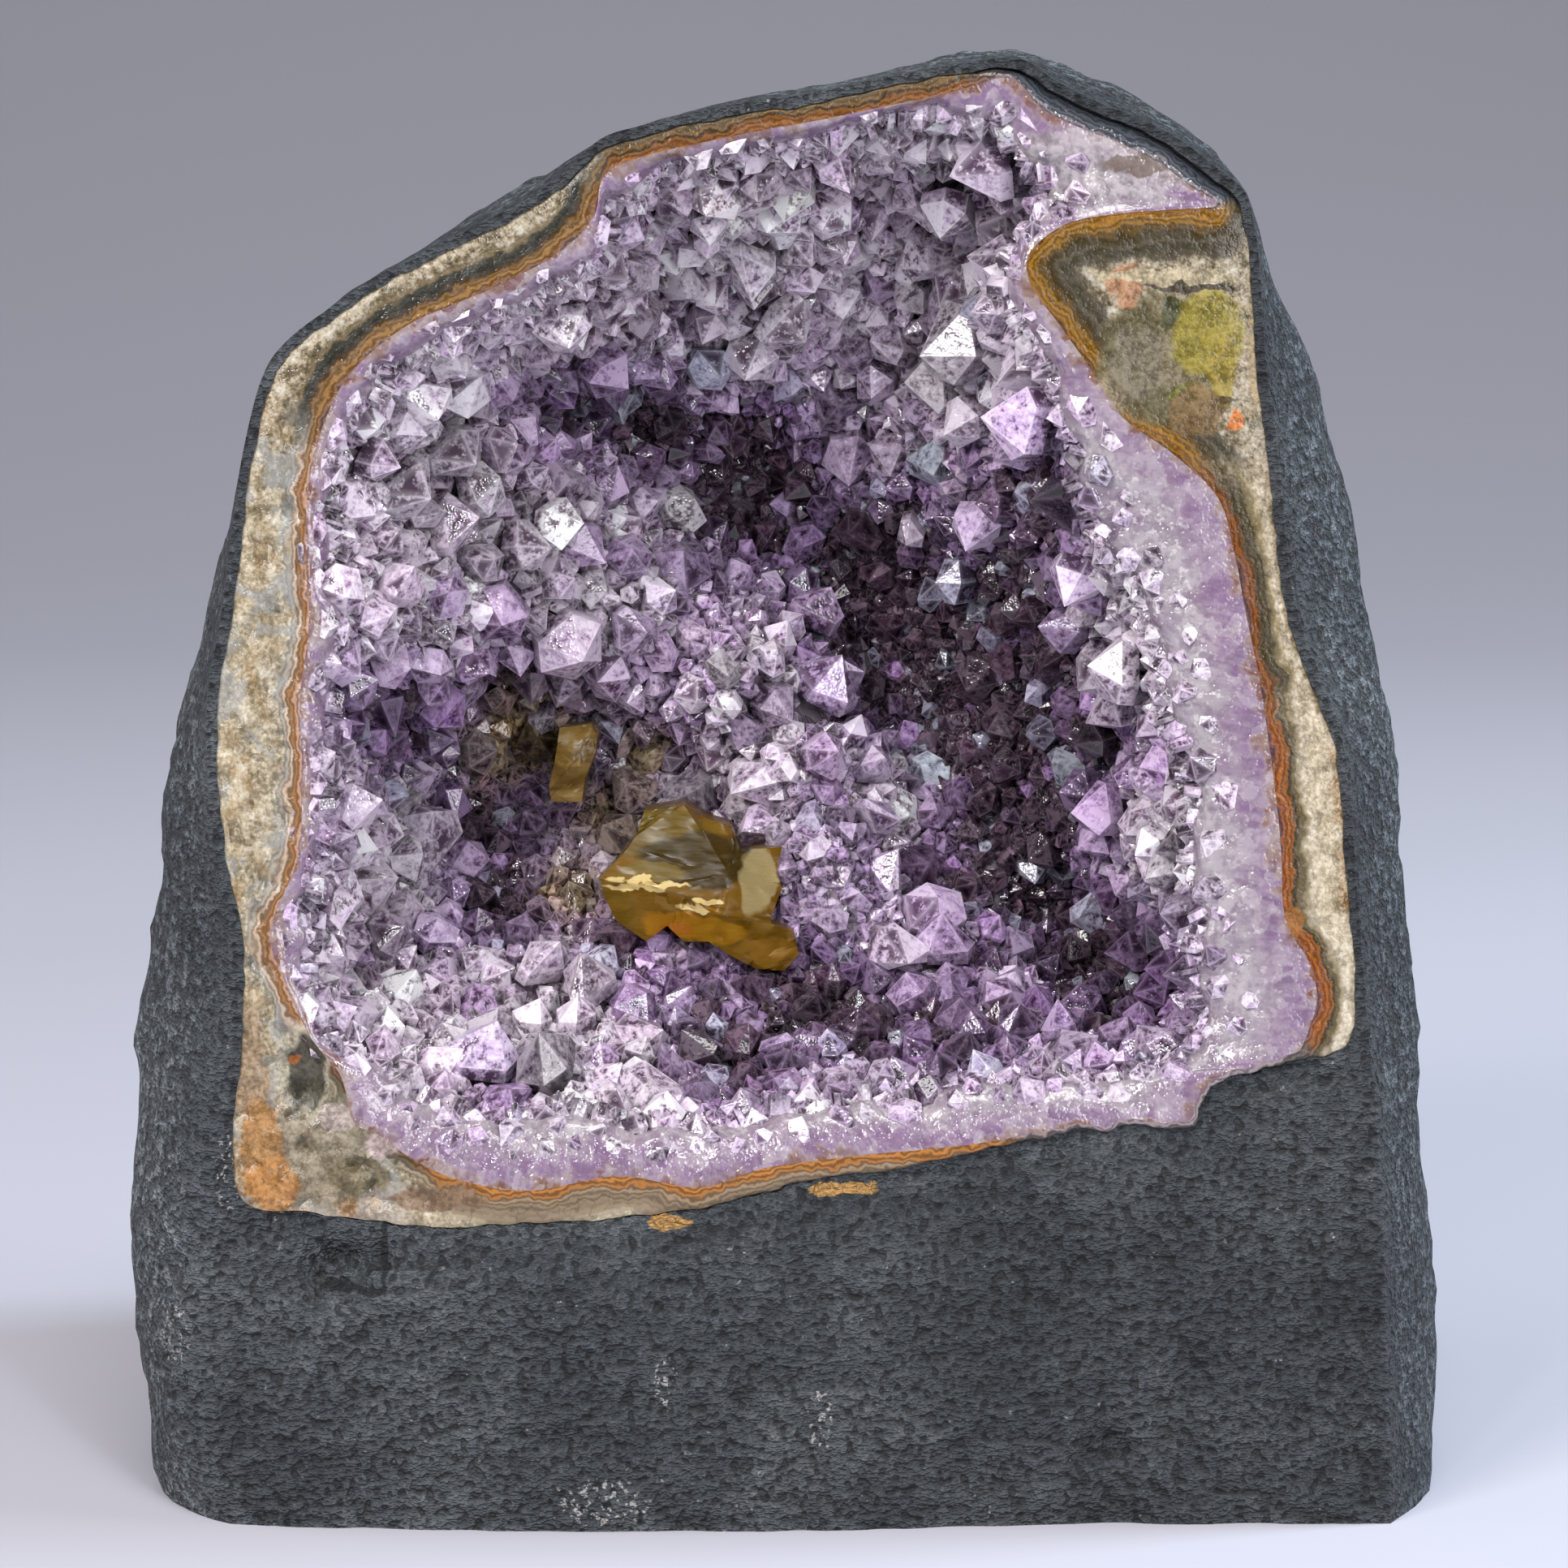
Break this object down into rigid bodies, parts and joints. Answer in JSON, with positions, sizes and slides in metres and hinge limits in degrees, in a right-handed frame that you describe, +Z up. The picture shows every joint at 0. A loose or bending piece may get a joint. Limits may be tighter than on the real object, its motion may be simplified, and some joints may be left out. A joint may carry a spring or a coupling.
{
  "type": "amethyst cathedral geode",
  "caption": "Cathedral geode with a flat sawn base and a polished face: dark basalt, a banded agate rind and a hollow lined with amethyst points and honey calcite.",
  "frame": {"origin": "middle of the object's box in X and Y, on the flat sawn base it stands on", "axes": "+Z up from the base, -Y out of the polished face, +X to the right of someone looking at that face"},
  "size_m": [0.1296, 0.091, 0.1396],
  "materials": {
    "basalt": "matt dark grey stone",
    "agate": "polished banded agate",
    "amethyst": "glassy crystal faces",
    "calcite": "glassy cleavage faces"
  },
  "bodies": {
    "root": {"basalt_shell": "basalt", "agate_rind": "agate", "amethyst_crust": "amethyst", "calcite_large": "calcite", "calcite_small": "calcite"}
  },
  "joints": []
}
